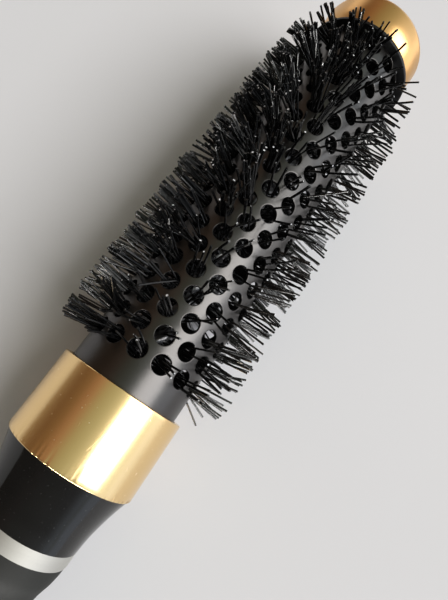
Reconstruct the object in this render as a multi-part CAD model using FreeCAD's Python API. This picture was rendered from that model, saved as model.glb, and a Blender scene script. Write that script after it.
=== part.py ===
import FreeCAD, Part
import math
import os

# Round barrel brush, in millimetres. X runs along the brush from the butt to the tip,
# and the origin is the centre of the butt's flat end.

# Driving dimensions
handle_length = 139.0  # butt to the ferrule's front lip
barrel_radius = 12.5
barrel_wall = 0.8
barrel_exposed = 99.95  # bare barrel between the ferrule's lip and the end ring
ring_count = 20  # rings of holes along the barrel
holes_per_ring = 14
hole_radius = 1.95
ring_pitch = 4.76
first_ring = 7.45  # ferrule's lip to the first ring of holes
bristle_reach = 20.5  # axis to the bristle tips
ferrule_radius = 14.15
ferrule_length = 16.9
collar_length = 12.45
silver_length = 2.85
waist_radius = 8.3
belly_radius = 10.4
butt_length = 8.0
clearance = 0.05  # between pieces that slide together when the brush is assembled

# Places along X
lip_x = handle_length
ferrule_rear_x = lip_x - ferrule_length
collar_rear_x = ferrule_rear_x - collar_length
silver_rear_x = collar_rear_x - silver_length
barrel_root_x = ferrule_rear_x + 1.3  # against the handle core's flange
ring_front_x = lip_x + barrel_exposed
barrel_tip_x = ring_front_x + 0.4  # sits in the end ring's rebate
ring_rear_x = ring_front_x + 0.9
web_rear_x = barrel_tip_x + 2.0
cap_rim_x = ring_rear_x + 8.5
cap_end_x = cap_rim_x + 2.4

# Radii
barrel_bore = barrel_radius - barrel_wall
silver_front_radius = 11.0
silver_rear_radius = 10.9
collar_front_radius = 13.85
collar_mid_radius = 12.1
end_ring_radius = 14.6
cap_neck_radius = 12.35
cap_rim_radius = 14.3
cap_wall = 1.1
stem_radius = 6.4  # handle core under the grip
neck_radius = 8.0  # handle core under the collar and in the root bush
butt_stub_radius = 5.0
butt_face_radius = 4.5

# Twisted core: two strands side by side, half a twist for each ring of bristles
strand_radius = 0.93
strand_offset = 1.0
core_bore = strand_offset + strand_radius + 0.15
core_root_x = lip_x - 45.0
core_tip_x = web_rear_x + 2.2

axis = FreeCAD.Vector(1, 0, 0)
ring_step = 2 * math.pi / holes_per_ring


def point(x, r):
    return FreeCAD.Vector(x, 0, r)


def polyline(*points):
    corners = [point(x, r) for x, r in points]
    return [Part.LineSegment(a, b).toShape() for a, b in zip(corners, corners[1:])]


def arc(start, middle, end):
    return [Part.Arc(point(*start), point(*middle), point(*end)).toShape()]


def curve(stations):
    spline = Part.BSplineCurve()
    spline.interpolate([point(x, r) for x, r in stations])
    return [spline.toShape()]


def rounded(corner, radius, towards_x, towards_r):
    """A quarter arc that rounds a square corner whose sides run in the two given directions."""
    x, r = corner
    bulge = radius * (1 - math.sqrt(0.5))
    return arc(
        (x + towards_x * radius, r),
        (x + towards_x * bulge, r + towards_r * bulge),
        (x, r + towards_r * radius),
    )


def turned(edges):
    """The solid that a closed half outline sweeps around the brush's axis."""
    wire = Part.Wire(Part.__sortEdges__(edges))
    solid = Part.Face(wire).revolve(FreeCAD.Vector(0, 0, 0), axis, 360)
    return solid if solid.ShapeType == "Solid" else solid.Solids[0]


def closed(*points):
    return polyline(*points, points[0])


def ring_angles(ring):
    """Directions of one ring's holes: every second ring is turned by half a step."""
    shift = 0.5 if ring % 2 == 0 else 0.0
    return [(k + shift) * ring_step for k in range(holes_per_ring)]


def ring_x(ring):
    return lip_x + first_ring + ring * ring_pitch


def outward(angle):
    return FreeCAD.Vector(0, math.sin(angle), math.cos(angle))


def make_barrel():
    tube = turned(
        closed(
            (barrel_root_x, barrel_bore),
            (barrel_root_x, barrel_radius),
            (barrel_tip_x, barrel_radius),
            (barrel_tip_x, barrel_bore),
        )
    )
    inner_end = barrel_bore - 1.0
    drill_length = barrel_wall + 2.0
    drills = []
    for ring in range(ring_count):
        centre = FreeCAD.Vector(ring_x(ring), 0, 0)
        for angle in ring_angles(ring):
            start = centre + outward(angle) * inner_end
            drills.append(Part.makeCylinder(hole_radius, drill_length, start, outward(angle)))
    return tube.cut(Part.makeCompound(drills))


def make_bristle_ring(ring):
    """Plain tapered tufts, clear of each other at the core and of the barrel in their holes."""
    root, root_radius, tip_radius = 2.5, 0.5, 2.0
    centre = FreeCAD.Vector(ring_x(ring), 0, 0)
    tufts = []
    for angle in ring_angles(ring):
        start = centre + outward(angle) * root
        tufts.append(Part.makeCone(root_radius, tip_radius, bristle_reach - root, start, outward(angle)))
    return Part.makeCompound(tufts)


def make_core_strand(turn):
    """One of the two steel wires, a helix about the axis that starts turned by the given angle."""
    length = core_tip_x - core_root_x
    helix = Part.makeHelix(2 * ring_pitch, length, strand_offset)
    rise = 2 * ring_pitch / (2 * math.pi * strand_offset)
    direction = FreeCAD.Vector(0, 1, rise)
    section = Part.Wire(Part.makeCircle(strand_radius, FreeCAD.Vector(strand_offset, 0, 0), direction))
    strand = Part.Wire(helix).makePipeShell([section], True, True)
    strand.rotate(FreeCAD.Vector(0, 0, 0), FreeCAD.Vector(0, 0, 1), math.degrees(turn))
    strand.rotate(FreeCAD.Vector(0, 0, 0), FreeCAD.Vector(0, 1, 0), 90)
    strand.translate(FreeCAD.Vector(core_root_x, 0, 0))
    return strand


def make_core_collar():
    """The steel collar crimped on the core behind the end ring's web."""
    return turned(
        closed(
            (web_rear_x, core_bore),
            (web_rear_x, core_bore + 2.0),
            (core_tip_x, core_bore + 2.0),
            (core_tip_x, core_bore),
        )
    )


def make_root_bush():
    """Centres the core and the handle core's nose in the barrel's root."""
    radius = barrel_bore - clearance
    web_x = lip_x - 8.0
    front_x = web_x + 4.0
    return turned(
        closed(
            (barrel_root_x, neck_radius + clearance),
            (barrel_root_x, radius),
            (front_x, radius),
            (front_x, core_bore),
            (web_x, core_bore),
            (web_x, neck_radius + clearance),
        )
    )


def make_ferrule():
    """Gold sleeve with a lip turned in towards the barrel and a rounded rear edge."""
    wall = 0.6
    lip_bore = barrel_radius + 0.3
    lip_depth = 0.7
    front_round = 0.25
    rear_round = 0.35
    front = (lip_x, ferrule_radius)
    rear = (ferrule_rear_x, ferrule_radius)
    bore = ferrule_radius - wall
    return turned(
        polyline((ferrule_rear_x + rear_round, ferrule_radius), (lip_x - front_round, ferrule_radius))
        + rounded(front, front_round, -1, -1)
        + polyline(
            (lip_x, ferrule_radius - front_round),
            (lip_x, lip_bore),
            (lip_x - lip_depth, lip_bore),
            (lip_x - lip_depth, bore),
            (ferrule_rear_x, bore),
            (ferrule_rear_x, ferrule_radius - rear_round),
        )
        + rounded(rear, rear_round, 1, -1)
    )


def make_ferrule_liner():
    """Dark sleeve that holds the ferrule clear of the barrel."""
    front_x = lip_x - 0.9
    bore = barrel_radius + clearance
    radius = ferrule_radius - 0.6 - clearance
    return turned(
        closed(
            (barrel_root_x, bore),
            (barrel_root_x, radius),
            (front_x, radius),
            (front_x, bore),
        )
    )


def make_end_ring():
    """Black flange at the barrel's far end, with a web for the core and a boss for the cap."""
    edge = 0.15
    boss_radius = cap_neck_radius - cap_wall - 0.1
    boss_bore = boss_radius - 1.6
    boss_end_x = web_rear_x + 3.6
    rebate_radius = barrel_radius + clearance
    return turned(
        closed(
            (ring_front_x, rebate_radius),
            (ring_front_x, end_ring_radius - edge),
            (ring_front_x + edge, end_ring_radius),
            (ring_rear_x - edge, end_ring_radius),
            (ring_rear_x, end_ring_radius - edge),
            (ring_rear_x, boss_radius),
            (boss_end_x, boss_radius),
            (boss_end_x, boss_bore),
            (web_rear_x, boss_bore),
            (web_rear_x, core_bore),
            (barrel_tip_x, core_bore),
            (barrel_tip_x, rebate_radius),
        )
    )


def make_end_cap():
    """Hollow gold cap that flares from its neck to a rounded rim and a slightly domed end."""
    dome = 0.8
    gate_radius = 1.5  # small flat at the middle of the domed end
    rim_round = 2.4
    shoulder_radius = cap_rim_radius - rim_round
    lean = rim_round * math.sqrt(0.5)
    inner_end_x = cap_end_x - cap_wall
    flare_mid = (ring_rear_x + (cap_rim_x - ring_rear_x) * 0.5, cap_neck_radius + 1.15)
    return turned(
        arc((ring_rear_x, cap_neck_radius), flare_mid, (cap_rim_x, cap_rim_radius))
        + arc(
            (cap_rim_x, cap_rim_radius),
            (cap_rim_x + lean, shoulder_radius + lean),
            (cap_end_x, shoulder_radius),
        )
        + arc(
            (cap_end_x, shoulder_radius),
            (cap_end_x + dome * 0.75, shoulder_radius * 0.5),
            (cap_end_x + dome, gate_radius),
        )
        + polyline(
            (cap_end_x + dome, gate_radius),
            (cap_end_x + dome, 0),
            (inner_end_x, 0),
            (inner_end_x, shoulder_radius),
            (cap_rim_x, cap_rim_radius - cap_wall),
            (ring_rear_x, cap_neck_radius - cap_wall),
            (ring_rear_x, cap_neck_radius),
        )
    )


def make_handle_collar():
    """Gloss black front of the handle, drawn in from the ferrule to the silver ring."""
    middle = (lip_x - 22.7, collar_mid_radius)
    return turned(
        arc((collar_rear_x, silver_front_radius), middle, (ferrule_rear_x, collar_front_radius))
        + polyline(
            (ferrule_rear_x, collar_front_radius),
            (ferrule_rear_x, neck_radius + clearance),
            (collar_rear_x, neck_radius + clearance),
            (collar_rear_x, silver_front_radius),
        )
    )


def make_silver_ring():
    return turned(
        closed(
            (silver_rear_x, neck_radius + clearance),
            (silver_rear_x, silver_rear_radius),
            (collar_rear_x, silver_front_radius),
            (collar_rear_x, neck_radius + clearance),
        )
    )


def grip_outline():
    """Stations of the rubber grip: shoulder, thumb waist, belly and tail."""
    return [
        (butt_length, 8.5),
        (24.0, 9.1),
        (58.0, belly_radius),
        (90.0, waist_radius),
        (99.5, 9.3),
        (103.5, 10.35),
        (silver_rear_x, silver_rear_radius - 0.05),
    ]


def make_grip_sleeve():
    stations = grip_outline()
    bore = stem_radius + clearance
    return turned(
        curve(stations)
        + polyline(
            stations[-1],
            (silver_rear_x, bore),
            (butt_length, bore),
            stations[0],
        )
    )


def make_handle_core():
    """Plastic stem with a blind hole for the core's tail and a flange behind the barrel."""
    flange_radius = ferrule_radius - 0.6 - clearance
    nose_x = lip_x - 8.0 - clearance
    stub_x = 3.2
    hole_end_x = core_root_x - 1.0
    return turned(
        closed(
            (stub_x, 0),
            (stub_x, butt_stub_radius),
            (butt_length, butt_stub_radius),
            (butt_length, stem_radius),
            (silver_rear_x, stem_radius),
            (silver_rear_x, neck_radius),
            (ferrule_rear_x, neck_radius),
            (ferrule_rear_x, flange_radius),
            (barrel_root_x, flange_radius),
            (barrel_root_x, neck_radius),
            (nose_x, neck_radius),
            (nose_x, core_bore),
            (hole_end_x, core_bore),
            (hole_end_x, 0),
        )
    )


def make_butt_cap():
    """Rounded end of the handle, with a small flat face that the brush is measured from."""
    rear_radius = grip_outline()[0][1]
    bore = butt_stub_radius + clearance
    socket_x = 3.0
    return turned(
        arc((0, butt_face_radius), (2.3, 7.45), (butt_length, rear_radius))
        + polyline(
            (butt_length, rear_radius),
            (butt_length, bore),
            (socket_x, bore),
            (socket_x, 0),
            (0, 0),
            (0, butt_face_radius),
        )
    )


def save(node, shape):
    for solid in shape.Solids:
        if not solid.isValid() or not solid.isClosed():
            raise ValueError(f"{node} isn't a closed solid")
    shape.exportStep(f"parts/{node}.step")
    print(f"{node}: {len(shape.Solids)} solids, {shape.Volume:.1f} mm3")


os.makedirs("parts", exist_ok=True)
save("barrel", make_barrel())
for ring in range(ring_count):
    save(f"bristle_ring_{ring + 1:02d}", make_bristle_ring(ring))
save("core_wire_a", make_core_strand(0))
save("core_wire_b", make_core_strand(math.pi))
save("core_collar", make_core_collar())
save("root_bush", make_root_bush())
save("ferrule", make_ferrule())
save("ferrule_liner", make_ferrule_liner())
save("end_ring", make_end_ring())
save("end_cap", make_end_cap())
save("handle_collar", make_handle_collar())
save("silver_ring", make_silver_ring())
save("grip_sleeve", make_grip_sleeve())
save("handle_core", make_handle_core())
save("butt_cap", make_butt_cap())
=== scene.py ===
import bpy, bmesh, math, random
from mathutils import Matrix, Vector, noise


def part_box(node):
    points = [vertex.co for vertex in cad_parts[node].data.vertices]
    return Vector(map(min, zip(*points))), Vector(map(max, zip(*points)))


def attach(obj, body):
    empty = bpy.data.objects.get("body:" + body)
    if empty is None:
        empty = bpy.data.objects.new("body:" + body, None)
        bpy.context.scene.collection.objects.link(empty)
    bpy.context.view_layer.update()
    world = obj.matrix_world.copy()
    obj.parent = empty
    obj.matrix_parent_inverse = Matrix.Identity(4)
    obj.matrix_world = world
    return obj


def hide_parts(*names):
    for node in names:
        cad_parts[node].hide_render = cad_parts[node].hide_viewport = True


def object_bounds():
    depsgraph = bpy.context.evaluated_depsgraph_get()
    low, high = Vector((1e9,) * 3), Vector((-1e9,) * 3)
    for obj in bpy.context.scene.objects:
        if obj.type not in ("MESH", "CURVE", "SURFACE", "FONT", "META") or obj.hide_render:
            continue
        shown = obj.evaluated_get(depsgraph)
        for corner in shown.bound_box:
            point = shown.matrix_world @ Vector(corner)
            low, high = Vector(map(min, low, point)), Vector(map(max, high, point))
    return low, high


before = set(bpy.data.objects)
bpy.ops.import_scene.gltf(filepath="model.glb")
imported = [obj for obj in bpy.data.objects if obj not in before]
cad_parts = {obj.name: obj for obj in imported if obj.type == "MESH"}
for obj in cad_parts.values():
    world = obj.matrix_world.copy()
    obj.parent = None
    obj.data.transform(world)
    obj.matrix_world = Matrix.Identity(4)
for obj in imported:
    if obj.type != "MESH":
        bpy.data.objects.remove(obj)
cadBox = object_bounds()
mm = 0.001
turn = 2 * math.pi

# where the frame puts things, in metres
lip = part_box("ferrule")[1].x            # front lip of the ferrule
barrelEnds = [corner.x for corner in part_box("barrel")]
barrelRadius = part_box("barrel")[1].z
ringNodes = sorted(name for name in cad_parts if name.startswith("bristle_ring_"))
ringPlaces = [(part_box(name)[0].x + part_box(name)[1].x) / 2 for name in ringNodes]
holesPerRing = 14
holeStep = turn / holesPerRing
floorLevel = cadBox[0].z


# a wrapped socket takes part in arithmetic, and node() adds any other shader node

class Wire:
    def __init__(self, shader, socket):
        self.shader = shader
        self.socket = socket

    def __add__(self, other): return self.shader.sums("ADD", self, other)
    def __radd__(self, other): return self.shader.sums("ADD", other, self)
    def __sub__(self, other): return self.shader.sums("SUBTRACT", self, other)
    def __rsub__(self, other): return self.shader.sums("SUBTRACT", other, self)
    def __mul__(self, other): return self.shader.sums("MULTIPLY", self, other)
    def __rmul__(self, other): return self.shader.sums("MULTIPLY", other, self)
    def __truediv__(self, other): return self.shader.sums("DIVIDE", self, other)
    def __neg__(self): return self.shader.sums("MULTIPLY", self, -1.0)

    def band(self, low, high):        # 0 below low, 1 above high, smooth between
        settings = {"interpolation_type": "SMOOTHSTEP"}
        sockets = {0: self, 1: low, 2: high, 3: 0.0, 4: 1.0}
        return self.shader.node("MapRange", settings, sockets)


class Shader:
    def __init__(self, owner):
        owner.use_nodes = True
        self.tree = owner.node_tree
        self.tree.nodes.clear()

    def node(self, kind, settings=None, sockets=None, out=0):
        made = self.tree.nodes.new("ShaderNode" + kind)
        for key, value in (settings or {}).items():
            if key == "stops":                # a colour ramp comes with two stops
                ramp = made.color_ramp
                for place, colour in value[2:]:
                    ramp.elements.new(place)
                for element, (place, colour) in zip(ramp.elements, sorted(value)):
                    element.position = place
                    element.color = (*colour, 1.0)
            else:
                setattr(made, key, value)
        for key, value in (sockets or {}).items():
            if isinstance(value, Wire):
                self.tree.links.new(value.socket, made.inputs[key])
            else:
                made.inputs[key].default_value = value
        return Wire(self, made.outputs[out]) if made.outputs else None

    def sums(self, operation, *values):
        return self.node("Math", {"operation": operation}, dict(enumerate(values)))

    def mixed(self, first, second, factor):
        first, second = [c if isinstance(c, Wire) else (*c, 1.0) for c in (first, second)]
        settings = {"data_type": "RGBA"}
        return self.node("Mix", settings, {0: factor, 6: first, 7: second}, out=2)

    def varied(self, colour, change, factor):     # to the colour times change, where factor is 1
        return self.mixed(colour, [c * change for c in colour], factor)

    def place(self, stretch=(1, 1, 1)):    # the piece's own coordinates in millimetres
        spot = self.node("TexCoord", out=3)
        scale = tuple(s / mm for s in stretch)
        return self.node("Mapping", {}, {"Vector": spot, "Scale": scale})

    def grain(self, size, detail=2.0, stretch=(1, 1, 1)):   # size in millimetres
        sockets = {"Vector": self.place(stretch), "Scale": 1 / size, "Detail": detail}
        return self.node("TexNoise", {}, sockets)

    def parts(self, vector):
        made = self.node("SeparateXYZ", {}, {0: vector})
        return [Wire(self, out) for out in made.socket.node.outputs]

    def bump(self, height, strength, depth):
        sockets = {"Height": height, "Strength": strength, "Distance": depth}
        return self.node("Bump", {}, sockets)


def painted(name, look):
    material = bpy.data.materials.new(name)
    shader = Shader(material)
    surface = shader.node("BsdfPrincipled", {}, look(shader))
    shader.node("OutputMaterial", {}, {"Surface": surface})
    return material


def clothe(piece, material):
    piece.data.materials.clear()
    piece.data.materials.append(material)


def addObject(name, data):
    added = bpy.data.objects.new(name, data)
    bpy.context.scene.collection.objects.link(added)
    return added


creaseAngle = math.radians(38)


def addPiece(name, points, faces, material, nodes, weld=True):
    mesh = bpy.data.meshes.new(name)
    mesh.from_pydata(points, [], faces)
    if weld:
        tidy = bmesh.new()
        tidy.from_mesh(mesh)
        bmesh.ops.remove_doubles(tidy, verts=tidy.verts, dist=0.002 * mm)
        bmesh.ops.recalc_face_normals(tidy, faces=tidy.faces)
        tidy.to_mesh(mesh)
        tidy.free()
    mesh.polygons.foreach_set("use_smooth", [True] * len(mesh.polygons))
    if weld:
        mesh.set_sharp_from_angle(angle=creaseAngle)
    piece = addObject(name, mesh)
    clothe(piece, material)
    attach(piece, "root")
    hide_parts(*nodes)
    return piece


def around(x, radius, angle):          # angle from the top, plus is towards +Y
    return Vector((x, radius * math.sin(angle), radius * math.cos(angle)))


def rounding(centre, radius, first, last, steps=5):
    # an arc of the turned outline, its angles in degrees from +X towards outwards
    angles = [math.radians(first + (last - first) * i / steps) for i in range(steps + 1)]
    return [(centre[0] + radius * math.cos(a), centre[1] + radius * math.sin(a)) for a in angles]


def smoothLine(stations, steps):       # Catmull-Rom through (x, radius) stations
    ends = [stations[0]] + list(stations) + [stations[-1]]
    line = []
    for a, b, c, d in zip(ends, ends[1:], ends[2:], ends[3:]):
        for i in range(steps):
            t = i / steps
            line.append(tuple(
                0.5 * (2 * q + (r - p) * t + (2 * p - 5 * q + 4 * r - s) * t * t
                       + (3 * q - p - 3 * r + s) * t ** 3)
                for p, q, r, s in zip(a, b, c, d)))
    return line + [stations[-1]]


def inMetres(stations, start=0.0):     # stations in mm, x from start
    return [(start + x * mm, radius * mm) for x, radius in stations]


def turnedPiece(name, outline, segments, material, nodes, wobble=None):
    points, faces = [], []
    for x, radius in outline:
        for k in range(segments):
            angle = turn * k / segments
            push = wobble(x, radius, angle) if wobble else 0.0
            points.append(around(x, max(radius + push, 0.0), angle))
    count = len(outline)
    for i in range(count):
        low, high = i * segments, (i + 1) % count * segments
        if outline[i][1] == 0 and outline[(i + 1) % count][1] == 0:
            continue                      # along the axis
        for k in range(segments):
            after = (k + 1) % segments
            faces.append((low + k, high + k, high + after, low + after))
    return addPiece(name, points, faces, material, nodes)


cameraPlace = {
    "pastLip": 2.45,       # mm along the brush from the ferrule's lip
    "aside": 3.1,
    "height": 92.65,       # above the brush's axis
    "aimPastLip": 28.0,
    "aimAside": -6.67,
    "upTurn": 34.5,        # degrees from the brush's axis to the picture's up
    "lens": 25.53,
}


def setCamera(at):
    camera = addObject("camera", bpy.data.cameras.new("camera"))
    camera.data.lens = at["lens"]
    camera.data.clip_start = 5 * mm
    camera.data.clip_end = 20.0
    eye = Vector((lip + at["pastLip"] * mm, at["aside"] * mm, at["height"] * mm))
    aim = Vector((lip + at["aimPastLip"] * mm, at["aimAside"] * mm, 0))
    back = (eye - aim).normalized()
    upTurn = math.radians(at["upTurn"])
    right = Vector((math.cos(upTurn), math.sin(upTurn), 0)).cross(back).normalized()
    up = back.cross(right)
    camera.rotation_mode = "QUATERNION"
    camera.rotation_quaternion = Matrix([right, up, back]).transposed().to_quaternion()
    camera.location = eye
    bpy.context.scene.camera = camera


setCamera(cameraPlace)
print("camera set")

floorLook = {
    "colour": (0.605, 0.596, 0.620),
    "halfSide": 3.0,       # metres
    "cloudSize": 60.0,     # mm
    "toothSize": 0.9,      # mm, of the paper's surface
}

# directions in the room: slant is in degrees from overhead, minus is the side away from the
# window, and along is the direction's part along the brush, towards the tip
lamps = {
    "colour": (1.0, 0.98, 0.95),
    "away": 4.0,           # metres from the ferrule
    "windowGlow": 4.6,     # radiance
    "windowSlant": (17.0, 57.0),
    "windowReach": (-0.24, 0.60),   # along the brush, as parts of the distance
    # a low far window behind the handle: it only shows as thin lines along the bristles
    "glintGlow": 34.0,
    "glintWidth": 50.0,    # degrees
    "glintHeight": 9.0,
    "glintRise": 12.0,     # degrees above the floor
    "glintTurn": -10.0,    # degrees from straight behind the handle, minus is the -Y side
}

roomLook = {
    # colour of the room by slant
    "walls": [
        (-110, (0.38, 0.31, 0.26)), (-90, (0.25, 0.20, 0.15)), (-68, (0.15, 0.10, 0.065)),
        (-52, (0.20, 0.14, 0.09)), (-38, (0.32, 0.21, 0.155)), (-20, (0.34, 0.35, 0.26)),
        (0, (0.42, 0.46, 0.38)), (14, (0.55, 0.59, 0.54)), (62, (0.86, 0.96, 1.06)),
        (69, (0.68, 0.74, 0.76)), (76, (0.86, 0.94, 1.06)), (100, (0.70, 0.74, 0.80)),
    ],
    "person": (0.06, 0.055, 0.05),  # whoever stands at the brush's handle
    "personBack": (0.35, 0.6),      # comes in between these parts of the way back
    "personSlant": (40.0, 80.0),    # and ends between these slants
    "personShare": 0.85,
    "farEnd": (1.0, 0.95, 0.90),    # paler wall beyond the tip, on the side away from the window
    "farEndAlong": (0.3, 0.6),
    "farEndSlant": (-80.0, -55.0),
    "sideWall": (1.5, 1.5, 1.5),    # pale wall under the window, from the ferrule on
    "sideWallAlong": (-0.06, 0.12),
    "sideWallTop": (60.0, 72.0),    # slants
    "sideWallFoot": (95.0, 110.0),
    "backdrop": (0.72, 0.72, 0.72), # what the camera sees behind the floor
}


def makeFloor():
    half = floorLook["halfSide"]
    mesh = bpy.data.meshes.new("floor")
    middle = (cadBox[0] + cadBox[1]) / 2
    corners = [(-half, -half), (half, -half), (half, half), (-half, half)]
    corners = [(middle.x + x, middle.y + y, floorLevel) for x, y in corners]
    mesh.from_pydata(corners, [], [(0, 1, 2, 3)])
    floor = addObject("floor", mesh)

    def look(s):
        return {
            "Base Color": s.varied(floorLook["colour"], 0.97, s.grain(floorLook["cloudSize"], 3.0)),
            "Roughness": 0.85,
            "Specular IOR Level": 0.05,
            "Normal": s.bump(s.grain(floorLook["toothSize"], 3.0), 0.15, 0.05 * mm),
        }
    clothe(floor, painted("paleBoard", look))


def hangLamp(name, glow, wide, high, place, rotation):
    light = bpy.data.lights.new(name, "AREA")
    light.shape = "RECTANGLE"
    light.size, light.size_y = wide, high
    light.energy = glow * math.pi * wide * high
    light.color = lamps["colour"]
    lamp = addObject(name, light)
    lamp.location = Vector((lip, 0, 0)) + place
    lamp.rotation_euler = rotation
    return lamp


def hangWindow():
    away = lamps["away"]
    first, last = lamps["windowReach"]
    high, low = [math.radians(slant) for slant in lamps["windowSlant"]]
    tilt = (high + low) / 2
    place = Vector(((first + last) / 2, -math.sin(tilt), math.cos(tilt))) * away
    wide, tall = (last - first) * away, 2 * math.tan((low - high) / 2) * away
    hangLamp("window", lamps["windowGlow"], wide, tall, place, (tilt, 0, 0))


def hangGlint():
    away = lamps["away"]
    rise, swing = math.radians(lamps["glintRise"]), math.radians(lamps["glintTurn"])
    level = math.cos(rise)
    towards = Vector((-level * math.cos(swing), level * math.sin(swing), math.sin(rise)))
    wide, tall = [2 * math.tan(math.radians(lamps[side]) / 2) * away
                  for side in ("glintWidth", "glintHeight")]
    facing = towards.to_track_quat("Z", "Y").to_euler()
    glint = hangLamp("glint", lamps["glintGlow"], wide, tall, towards * away, facing)
    glint.visible_diffuse = False


def lightRoom():
    world = bpy.data.worlds.new("room")
    bpy.context.scene.world = world
    s = Shader(world)
    along, aside, up = s.parts(s.node("TexCoord", out=0))
    slant = s.sums("ARCTAN2", -aside, up) * (180 / math.pi)
    look = roomLook
    low, high = look["walls"][0][0], look["walls"][-1][0]
    stops = [((slantAt - low) / (high - low), colour) for slantAt, colour in look["walls"]]
    room = s.node("ValToRGB", {"stops": stops}, {0: (slant - low) / (high - low)})
    person = (-along).band(*look["personBack"]) * (1 - slant.band(*look["personSlant"]))
    room = s.mixed(room, look["person"], person * look["personShare"])
    farEnd = along.band(*look["farEndAlong"]) * (1 - slant.band(*look["farEndSlant"]))
    room = s.mixed(room, look["farEnd"], farEnd)
    sideWall = along.band(*look["sideWallAlong"]) * slant.band(*look["sideWallTop"])
    sideWall = sideWall * (1 - slant.band(*look["sideWallFoot"]))
    room = s.mixed(room, look["sideWall"], sideWall)
    shown = s.mixed(room, look["backdrop"], s.node("LightPath", out=0))
    s.node("OutputWorld", {}, {"Surface": s.node("Background", {}, {"Color": shown})})


makeFloor()
hangWindow()
hangGlint()
lightRoom()
bpy.context.scene.view_settings.view_transform = "Standard"
bpy.context.scene.view_settings.look = "Medium High Contrast"
print("floor and light ready")

barrel = {
    "wall": 0.8,
    "hole": 1.95,
    "rim": 0.14,           # rounding of each hole's edge
    "rimSteps": 4,
    "apron": 0.308,        # ring of fine faces kept round each hole
    "cellSide": 8,         # divisions along a hole's cell, an even number
    "coat": (0.0022, 0.0019, 0.0018),
}


def holeAngle(ring, k):                # every second ring is turned by half a step
    return (k + (0.5 if ring % 2 == 0 else 0.0)) * holeStep


def barrelMesh():
    # every hole has a cell of its own, with the hole's loops inside the cell's square
    pitch = ringPlaces[1] - ringPlaces[0]
    side = barrel["cellSide"]
    hole, rim = barrel["hole"] * mm, barrel["rim"] * mm
    inner = barrelRadius - barrel["wall"] * mm
    cellWide = holeStep * barrelRadius
    segments = holesPerRing * side
    points, faces = [], []

    steps = [k / side - 0.5 for k in range(side)]
    square = [(t, -0.5) for t in steps] + [(0.5, t) for t in steps]
    square += [(-t, 0.5) for t in steps] + [(-0.5, -t) for t in steps]

    def quadStrip(loops):
        start, size = len(points), len(loops[0])
        for loop in loops:
            points.extend(loop)
        for i in range(len(loops) - 1):
            for k in range(size):
                a, b = start + i * size + k, start + i * size + (k + 1) % size
                faces.append((a, b, b + size, a + size))

    def cellLoop(x, angle, radius):
        return [around(x + u * pitch, radius, angle + v * holeStep) for u, v in square]

    def holeLoop(x, angle, reach, radius):
        loop = []
        for u, v in square:
            theta = math.atan2(v * cellWide, u * pitch)
            swing = math.asin(reach * math.sin(theta) / radius)
            loop.append(around(x + reach * math.cos(theta), radius, angle + swing))
        return loop

    def circle(x, radius):
        return [around(x, radius, turn * k / segments) for k in range(segments)]

    for ring, x in enumerate(ringPlaces):
        for k in range(holesPerRing):
            angle = holeAngle(ring, k)
            loops = [cellLoop(x, angle, barrelRadius),
                     holeLoop(x, angle, hole + barrel["apron"] * mm, barrelRadius)]
            for step in range(barrel["rimSteps"] + 1):
                bend = math.pi / 2 * step / barrel["rimSteps"]
                loops.append(holeLoop(x, angle, hole + rim * (1 - math.sin(bend)),
                                      barrelRadius - rim * (1 - math.cos(bend))))
            loops += [holeLoop(x, angle, hole, inner), cellLoop(x, angle, inner)]
            quadStrip(loops)

    # plain bands from the outermost cells to the barrel's ends
    firstCell, lastCell = ringPlaces[0] - pitch / 2, ringPlaces[-1] + pitch / 2
    for here, there in ((barrelEnds[0], firstCell), (lastCell, barrelEnds[1])):
        for radius in (barrelRadius, inner):
            quadStrip([circle(here, radius), circle(there, radius)])
    for x in barrelEnds:
        quadStrip([circle(x, barrelRadius), circle(x, inner)])
    return points, faces


def coatLook(s):
    fine = s.grain(0.35, 3.0)
    return {
        "Base Color": s.varied(barrel["coat"], 0.8, s.grain(9.0)),
        "IOR": 1.9,
        "Specular Tint": (1.0, 0.96, 0.95, 1.0),
        "Roughness": 0.27 + fine * 0.08,
        "Normal": s.bump(fine, 0.25, 0.02 * mm),
    }


def makeBarrel():
    points, faces = barrelMesh()
    coat = painted("ceramicCoat", coatLook)
    addPiece("barrel_shell", points, faces, coat, ["barrel"])


makeBarrel()
print("barrel ready")

# bristles: each tuft is a bundle of stiff filaments, gathered at the core and cut blunt

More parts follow.
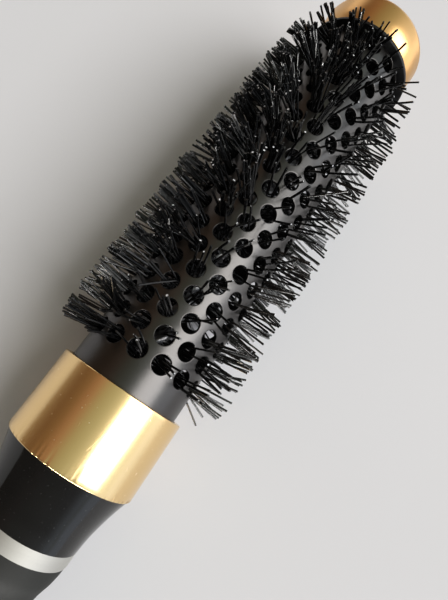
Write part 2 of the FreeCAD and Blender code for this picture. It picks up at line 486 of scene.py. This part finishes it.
bristles = {
    "thickness": 0.49,
    "unevenThickness": (0.85, 1.1),
    "sides": 6,
    "reach": 20.4,         # axis to the cut ends
    "unevenReach": 0.7,
    "start": 2.3,          # axis to where the filaments leave the core
    "roots": (2.2, 1.1),   # mm, how far from its tuft's middle a root may lie, along and round
    "holeGap": 0.1,        # mm kept between a filament and its hole's edge
    "fan": 0.6,            # how much a bundle opens between core and hole
    "lean": 10.0,          # degrees, how far a whole bundle tips over
    "mostLean": 1.5,       # times lean, and no bundle tips further
    "bow": 0.25,           # mm at the cut ends
    "straightFrom": 0.35,  # the part of the way from hole to core where a filament is straight
    # part of the filaments that go their own way, and what is added in full tufts
    "stray": 0.10,
    "strayInFull": 0.3,
    "strayLean": 1.3,      # times lean
    "ownLean": 0.18,       # the same for the other filaments
    "nylon": (0.0050, 0.0050, 0.0054),
    "cutEnd": (0.012, 0.012, 0.013),
    # the pale cut ends are painted glints: their colour stands in for light caught on the cut faces
    "paintedGlintEnd": (0.60, 0.60, 0.63),
    "cutSlant": 0.125,
    # filaments in a tuft by degrees round from the top, plus is the +Y side
    "thinCount": [(-180, 6), (-75, 6), (-58, 5), (-38, 3), (-28, 2), (10, 3), (60, 5)],
    "fullCount": [(55, 13), (78, 8), (180, 6)],
    # from these degrees on the tufts are full, by ring: the thin strip narrows towards the tip
    "fullFrom": [(0, 58), (3, 40), (6, 18), (13, 3), (19, -8)],
    "fullOver": 14.0,      # degrees from thin to full
    "fewest": 2,
    "most": 13,
    "unevenCount": (0.75, 1.25),
    "windowSideTo": -40.0, # up to these degrees the tufts get thinner along the barrel, by ring
    "windowSideShare": [(6, 1.0), (11, 0.7)],
    "endRings": 3,         # rings at the tip that are trimmed lower and lean back
    "endTrim": 1.8,
    "endTrimBeyond": (0.7, 0.2),    # past this part of the way to +Y, only so much of the trim
    "endLean": 10.0,       # degrees
    "endFewer": 0.3,       # part of the filaments missing there, up to endFewerTo
    "endFewerTo": 5.0,     # degrees
}


def nearEnd(ring):                     # 0 over most of the barrel, 1 at the last ring
    return max(0.0, (ring + 1 - len(ringNodes)) / bristles["endRings"] + 1)


def between(stations, at):             # straight lines through the stations, flat beyond them
    for (before, low), (after, high) in zip(stations, stations[1:]):
        if at <= after:
            return low + (high - low) * max(0.0, at - before) / (after - before)
    return stations[-1][1]


def fullness(ring, degrees):           # 0 in the thin strip, 1 where the tufts are full
    past = degrees - between(bristles["fullFrom"], ring)
    return min(1.0, max(0.0, past / bristles["fullOver"] + 0.5))


def filamentsIn(rng, ring, degrees):
    thin = between(bristles["thinCount"], degrees)
    full = between(bristles["fullCount"], degrees)
    usual = thin + (full - thin) * fullness(ring, degrees)
    if degrees < bristles["windowSideTo"]:
        usual *= between(bristles["windowSideShare"], ring)
    if degrees < bristles["endFewerTo"]:
        usual *= 1 - bristles["endFewer"] * nearEnd(ring)
    count = round(usual * rng.uniform(*bristles["unevenCount"]))
    return max(bristles["fewest"], min(bristles["most"], count))


def held(value, limit):                # between minus and plus the limit
    return max(-limit, min(limit, value))


def tilted(degrees):                   # what a tilt moves sideways, per millimetre of height
    return math.tan(math.radians(degrees))


def tuftPaths(rng, ring, x, angle):
    # pairs of values are along the brush and round it
    outward = around(0, 1, angle)
    axes = Vector((1, 0, 0)), around(0, 1, angle + turn / 4)
    axisPoint = Vector((x, 0, 0))
    start, wall = bristles["start"] * mm, barrel["wall"] * mm
    climb = barrelRadius - start
    lean = [tilted(usual + held(rng.gauss(0, 1), bristles["mostLean"]) * bristles["lean"])
            for usual in (-bristles["endLean"] * nearEnd(ring), 0)]
    limit = (barrel["hole"] - bristles["thickness"] / 2 - bristles["holeGap"]) * mm
    degrees = (math.degrees(angle) + 180) % 360 - 180
    stray = bristles["stray"]
    if degrees < bristles["thinCount"][-1][0]:
        stray += bristles["strayInFull"] * fullness(ring, degrees)
    beyond, trimShare = bristles["endTrimBeyond"]
    trim = bristles["endTrim"] * nearEnd(ring) * (1 if outward.y < beyond else trimShare)
    for _ in range(filamentsIn(rng, ring, degrees)):
        turnedTo, out = rng.uniform(0, turn), math.sqrt(rng.uniform(0.02, 1)) * limit
        spot = (out * math.cos(turnedTo), out * math.sin(turnedTo))
        share = bristles["strayLean"] if rng.random() < stray else bristles["ownLean"]
        slopes = [spot[i] * bristles["fan"] / climb + lean[i]
                  + tilted(rng.gauss(0, bristles["lean"] * share)) for i in range(2)]
        if ring + 1 == len(ringNodes):
            slopes[0] = min(slopes[0], 0.0)         # clear of the end ring
        # a leaning filament has to clear the hole's inner edge too
        within = [spot[i] - slopes[i] * wall for i in range(2)]
        excess = max(0.0, 1 - limit / math.hypot(*within))
        spot = [spot[i] - within[i] * excess for i in range(2)]
        gate = axisPoint + outward * barrelRadius + axes[0] * spot[0] + axes[1] * spot[1]
        heading = (outward + axes[0] * slopes[0] + axes[1] * slopes[1]).normalized()
        # the root lies on the core, whatever way the filament leans outside
        root = axisPoint + outward * start
        for i in range(2):
            root += axes[i] * held(spot[i] - slopes[i] * climb, bristles["roots"][i] * mm)
        top = (bristles["reach"] - trim - rng.random() ** 2 * bristles["unevenReach"]) * mm
        free = heading * (top - barrelRadius) / max(heading.dot(outward), 0.6)
        bow = (axes[0] * rng.gauss(0, bristles["bow"]) + axes[1] * rng.gauss(0, bristles["bow"])) * mm
        inside = gate - heading * climb * bristles["straightFrom"]
        yield [root, (root + inside) / 2, inside, gate] + [
            gate + free * t + bow * t * t for t in (0.35, 0.7, 1.0)]


def addFilament(rng, points, sideFaces, endFaces, path):
    sides = bristles["sides"]
    radius = bristles["thickness"] / 2 * mm * rng.uniform(*bristles["unevenThickness"])
    start = len(points)
    previous = None
    for i, spot in enumerate(path):
        ahead = (path[min(i + 1, len(path) - 1)] - path[max(i - 1, 0)]).normalized()
        guide = previous or ahead.orthogonal()
        across = (guide - ahead * guide.dot(ahead)).normalized()
        other = ahead.cross(across)
        previous = across
        for k in range(sides):
            t = turn * k / sides
            points.append(spot + (across * math.cos(t) + other * math.sin(t)) * radius)
    for i in range(len(path) - 1):
        for k in range(sides):
            a, b = start + i * sides + k, start + i * sides + (k + 1) % sides
            sideFaces.append((a, b, b + sides, a + sides))
    # the cut is its own face, a little off square
    slant = across * rng.gauss(0, bristles["cutSlant"]) + other * rng.gauss(0, bristles["cutSlant"])
    cut = len(points)
    for k in range(sides):
        rim = points[start + (len(path) - 1) * sides + k]
        rim += ahead * (rim - path[-1]).dot(slant)
        points.append(rim.copy())
    endFaces.append(tuple(cut + k for k in range(sides)))
    endFaces.append(tuple(start + k for k in reversed(range(sides))))


def nylonLook(s):
    return {
        "Base Color": s.varied(bristles["nylon"], 2, s.grain(0.8)),
        "Roughness": 0.05 + s.grain(0.4) * 0.06,
        "Specular IOR Level": 0.8,
    }


def cutLook(s):
    # painted glints: some cut ends get a pale colour in place of the light they would catch
    paintedGlint = s.grain(0.9, 1.0).band(0.56, 0.66)
    return {
        "Base Color": s.mixed(bristles["cutEnd"], bristles["paintedGlintEnd"], paintedGlint),
        "Roughness": 0.3 + s.grain(0.15) * 0.15,
    }


def makeBristles():
    nylon, cut = painted("blackNylon", nylonLook), painted("cutNylon", cutLook)
    for ring, (node, x) in enumerate(zip(ringNodes, ringPlaces)):
        rng = random.Random(100 + ring)
        points, sideFaces, endFaces = [], [], []
        for k in range(holesPerRing):
            for path in tuftPaths(rng, ring, x, holeAngle(ring, k)):
                addFilament(rng, points, sideFaces, endFaces, path)
        piece = addPiece(node.replace("ring", "tufts"), points, sideFaces + endFaces,
                         nylon, [node], weld=False)
        piece.data.materials.append(cut)
        for i in range(len(endFaces)):
            piece.data.polygons[len(sideFaces) + i].material_index = 1
    print("bristles ready,", len(ringNodes), "rings")


makeBristles()

ferrule = {
    "gold": (0.94, 0.69, 0.37),
    "speck": (0.98, 0.90, 0.72),
    "wall": 0.6,
    "frontEdge": 0.25,     # rounding
    "rearEdge": 0.2,
    "lipDepth": 0.7,
    "lipGap": 0.3,         # between the lip and the barrel
    "chip": 0.4,           # depth of the nicks along the rear edge
    "chipFrom": 0.12,      # the more, the fewer they are
    "chipsRound": 30,      # the more, the shorter they are
    "scratchEvery": 9.0,
    "segments": 320,
}


def goldLook(s):
    drawn = s.grain(0.5, 3.0, (0.02, 1, 1))            # fine lines along the sleeve
    specks = s.grain(0.5, 1.0).band(0.76, 0.80)
    cells = {"Vector": s.place((0.35, 1, 1)), "Scale": 1 / ferrule["scratchEvery"]}
    edges = s.node("TexVoronoi", {"feature": "DISTANCE_TO_EDGE"}, cells)
    scratches = (1 - edges.band(0.0, 0.008)) * s.grain(5.0).band(0.55, 0.65)
    marks = s.sums("MAXIMUM", specks, scratches)
    worn = s.varied(ferrule["gold"], 0.95, drawn)
    return {
        "Base Color": s.mixed(worn, ferrule["speck"], specks * 0.6),
        "Metallic": 1.0,
        "Roughness": 0.17 + drawn * 0.08 + marks * 0.2,
        "Normal": s.bump(drawn * 0.5 - marks, 0.12, 0.01 * mm),
    }


def makeFerrule():
    low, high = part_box("ferrule")
    radius, bore = high.z, high.z - ferrule["wall"] * mm
    front, rear = ferrule["frontEdge"] * mm, ferrule["rearEdge"] * mm
    lipBore = barrelRadius + ferrule["lipGap"] * mm
    lipBack = high.x - ferrule["lipDepth"] * mm
    outline = rounding((low.x + rear, radius - rear), rear, 180, 90)
    outline += [(low.x + (high.x - low.x) * t, radius) for t in (0.05, 0.2, 0.35, 0.5, 0.65, 0.8, 0.95)]
    outline += rounding((high.x - front, radius - front), front, 90, 0)
    outline += [(high.x, lipBore), (lipBack, lipBore), (lipBack, bore), (low.x, bore)]

    def nicks(x, r, angle):            # only in the rear edge's rounding
        if x > low.x + rear or r < radius - rear * 1.1:
            return 0.0
        bite = noise.noise(Vector((math.cos(angle), math.sin(angle), 0)) * ferrule["chipsRound"])
        return -max(0.0, bite - ferrule["chipFrom"]) * ferrule["chip"] * mm
    turnedPiece("ferrule_sleeve", outline, ferrule["segments"], painted("brightGold", goldLook),
                ["ferrule"], nicks)


makeFerrule()
print("ferrule ready")

endRing = {
    "black": (0.008, 0.008, 0.009),
    "worn": (0.014, 0.014, 0.015),
    "thick": 0.9,
    "edge": 0.15,          # rounding
    "seat": 0.4,           # from its rear face, each of these two
    "web": 2.4,
    "bossWall": 1.6,
    "bossGap": 0.1,        # between its boss and the end cap
}

cap = {
    "gold": (0.69, 0.425, 0.19),
    "neck": 12.35,
    "wall": 1.1,
    "round": 2.4,
    "dome": 0.8,
    "belly": 1.5,          # how much wider than the neck half way along the flare
}


def makeEndRing():
    low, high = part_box("end_ring")
    radius = high.z
    edge = endRing["edge"] * mm
    flange, seat, web = [low.x + endRing[part] * mm for part in ("thick", "seat", "web")]
    boss = (cap["neck"] - cap["wall"] - endRing["bossGap"]) * mm
    bossBore = boss - endRing["bossWall"] * mm
    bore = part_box("core_collar")[1].z - 2.0 * mm       # the collar's wall is 2 mm
    outline = rounding((low.x + edge, radius - edge), edge, 180, 90, 3)
    outline += rounding((flange - edge, radius - edge), edge, 90, 0, 3)
    outline += [(flange, boss), (high.x, boss), (high.x, bossBore), (web, bossBore)]
    outline += [(web, bore), (seat, bore), (seat, barrelRadius), (low.x, barrelRadius)]

    def look(s):
        return {
            "Base Color": s.mixed(endRing["black"], endRing["worn"], s.grain(1.5)),
            "Roughness": 0.34 + s.grain(0.6) * 0.12,
            "Specular IOR Level": 0.3,
        }
    turnedPiece("end_ring_flange", outline, 160, painted("ringPlastic", look),
                ["end_ring"])


def makeEndCap():
    low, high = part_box("end_cap")
    neck, rim = cap["neck"] * mm, high.z
    corner, dome, wall = [cap[part] * mm for part in ("round", "dome", "wall")]
    flatX = high.x - dome
    rimX, shoulder = flatX - corner, rim - corner
    halfWay = ((low.x + rimX) / 2, neck + cap["belly"] * mm)
    outline = smoothLine([(low.x, neck), halfWay, (rimX, rim)], 8)
    outline += rounding((rimX, shoulder), corner, 90, 0, 10)[1:]
    outline += [(flatX + dome * (1 - part ** 2), shoulder * part) for part in (0.8, 0.6, 0.4, 0.2, 0)]
    outline += [(flatX - wall, 0), (flatX - wall, shoulder), (rimX, rim - wall), (low.x, neck - wall)]

    def look(s):
        return {
            "Base Color": s.varied(cap["gold"], 0.93, s.grain(4.0)),
            "Metallic": 1.0,
            "Roughness": 0.27 + s.grain(0.4) * 0.02,
        }
    turnedPiece("end_cap_shell", outline, 192, painted("satinGold", look), ["end_cap"])


makeEndRing()
makeEndCap()
print("tip ready")

# sizes in mm, stations as pairs of place and radius

handle = {
    "gloss": (0.013, 0.0125, 0.0125),
    "dust": (0.30, 0.30, 0.30),
    "silver": (0.43, 0.42, 0.40),
    "rubber": (0.0130, 0.0133, 0.0118),
    "neckBore": 8.05,
    "gripBore": 6.45,
    "gripStep": 0.05,      # how far the grip lies below the silver ring
    "silverRadii": (10.9, 11.0),
    "collar": [(-26.0, 11.4), (-22.7, 12.1), (-19.6, 12.95)],    # from the ferrule's lip
    "collarFront": 13.85,
    "grip": [(8.0, 8.5), (24.0, 9.1), (58.0, 10.4), (90.0, 8.3), (99.5, 9.3), (103.5, 10.35)],
    "butt": [(0.0, 4.5), (0.6, 5.9), (2.3, 7.45), (5.0, 8.3), (8.0, 8.5)],
    "buttBore": 5.05,
    "buttFloor": 3.0,
    "segments": 192,
    "buttSegments": 160,
}


def glossLook(s):
    dust = s.grain(0.20, 1.0).band(0.76, 0.81)
    body = s.varied(handle["gloss"], 1.5, s.grain(6.0))
    return {
        "Base Color": s.mixed(body, handle["dust"], dust),
        "Roughness": 0.05 + s.grain(3.0) * 0.04 + dust * 0.4,
    }


def silverLook(s):
    return {
        "Base Color": s.varied(handle["silver"], 0.93, s.grain(0.4, 3.0, (1, 0.1, 0.1))),
        "Metallic": 1.0,
        "Roughness": 0.56 + s.grain(0.3) * 0.08,
    }


def rubberLook(s):
    return {
        "Base Color": s.varied(handle["rubber"], 0.8, s.grain(3.0)),
        "Roughness": 0.62 + s.grain(0.5) * 0.1,
        "Specular IOR Level": 0.35,
        "Normal": s.bump(s.grain(0.12), 0.3, 0.02 * mm),
    }


def makeHandle():
    collarLow, collarHigh = [corner.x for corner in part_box("handle_collar")]
    ringLow, ringHigh = [corner.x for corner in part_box("silver_ring")]
    gripLow, gripHigh = [corner.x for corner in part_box("grip_sleeve")]
    neck, gripBore = handle["neckBore"] * mm, handle["gripBore"] * mm
    silverRear, silverFront = [radius * mm for radius in handle["silverRadii"]]
    segments = handle["segments"]
    gloss = painted("glossBlack", glossLook)

    outline = [(collarLow, silverFront)] + inMetres(handle["collar"], lip)
    outline = smoothLine(outline + [(collarHigh, handle["collarFront"] * mm)], 6)
    outline += [(collarHigh, neck), (collarLow, neck)]
    turnedPiece("handle_collar_gloss", outline, segments, gloss, ["handle_collar"])

    outline = [(ringLow, silverRear), (ringHigh, silverFront), (ringHigh, neck), (ringLow, neck)]
    turnedPiece("silver_trim", outline, segments, painted("satinSilver", silverLook),
                ["silver_ring"])

    front = (gripHigh, silverRear - handle["gripStep"] * mm)
    outline = smoothLine(inMetres(handle["grip"]) + [front], 10)
    outline += [(gripHigh, gripBore), (gripLow, gripBore)]
    turnedPiece("grip_rubber", outline, segments, painted("softRubber", rubberLook),
                ["grip_sleeve"])

    buttEnd, bore, deep = handle["butt"][-1][0], handle["buttBore"], handle["buttFloor"]
    outline = smoothLine(inMetres(handle["butt"]), 5)
    outline += inMetres([(buttEnd, bore), (deep, bore), (deep, 0), (0, 0)])
    turnedPiece("butt_cap_gloss", outline, handle["buttSegments"], gloss, ["butt_cap"])


makeHandle()
print("handle ready")

# pieces inside keep their CAD shape

inside = {
    "steel": (0.42, 0.42, 0.43),
    "steelShade": (0.32, 0.32, 0.33),
    "plastic": (0.012, 0.012, 0.012),
    "plasticShade": (0.02, 0.02, 0.02),
}


def steelLook(s):
    return {
        "Base Color": s.mixed(inside["steel"], inside["steelShade"], s.grain(0.8)),
        "Metallic": 1.0,
        "Roughness": 0.3 + s.grain(0.4) * 0.1,
    }


def plasticLook(s):
    return {
        "Base Color": s.mixed(inside["plastic"], inside["plasticShade"], s.grain(2.0)),
        "Roughness": 0.5 + s.grain(0.8) * 0.1,
    }


def dressInside():
    steel, plastic = painted("drawnSteel", steelLook), painted("innerPlastic", plasticLook)
    for name in ("core_wire_a", "core_wire_b", "core_collar"):
        clothe(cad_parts[name], steel)
    for name in ("root_bush", "ferrule_liner", "handle_core"):
        clothe(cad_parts[name], plastic)


dressInside()
print("inside dressed")
